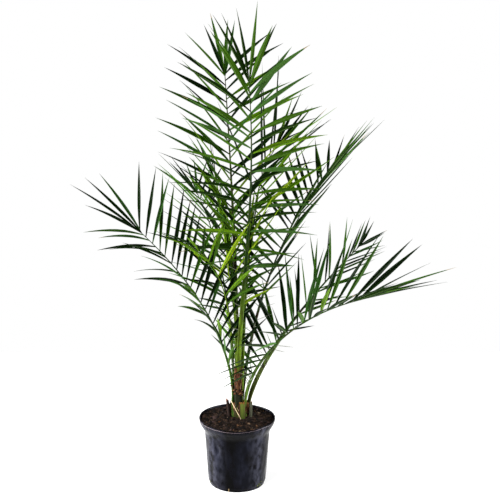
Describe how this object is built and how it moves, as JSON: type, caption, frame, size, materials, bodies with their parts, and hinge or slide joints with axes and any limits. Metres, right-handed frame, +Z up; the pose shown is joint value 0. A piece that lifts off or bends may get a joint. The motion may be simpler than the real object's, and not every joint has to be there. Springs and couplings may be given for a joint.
{
  "type": "potted date palm",
  "caption": "Young date palm in a round black nursery pot: upright and arching feather-shaped fronds with narrow folded leaflets rise from a short fibrous stem.",
  "frame": {"origin": "centre of the pot's flat underside", "axes": "+Z up along the pot's axis, +X to the right and -Y towards the front, where the tallest frond leans"},
  "size_m": [1.0949, 0.9096, 1.472],
  "materials": {
    "pot": "thin blown plastic with a soft gloss",
    "soil": "loose bark chips and peat",
    "fibre": "coarse dry fibre",
    "stump": "dry cut stalk",
    "stalk": "smooth waxy skin",
    "frond": "leathery leaf with a soft gloss",
    "young_frond": "fresh leaf with a soft gloss"
  },
  "bodies": {
    "root": {"pot": "pot", "soil": "soil", "stem": "fibre", "sheath": "fibre", "stump_left": "stump", "stump_front": "stump", "stump_right": "stump", "stalk_front_tall": "stalk", "frond_front_tall": "frond", "stalk_left_arching": "stalk", "frond_left_arching": "frond", "stalk_right_low": "stalk", "frond_right_low": "frond", "stalk_right_low_back": "stalk", "frond_right_low_back": "frond", "stalk_right_high": "stalk", "frond_right_high": "frond", "stalk_back_tall": "stalk", "frond_back_tall": "frond", "stalk_right_upright": "stalk", "frond_right_upright": "young_frond", "stalk_young_spear": "stalk", "frond_young_spear": "young_frond", "stalk_left_inner": "stalk", "frond_left_inner": "frond", "stalk_back_arching": "stalk", "frond_back_arching": "frond"}
  },
  "joints": []
}
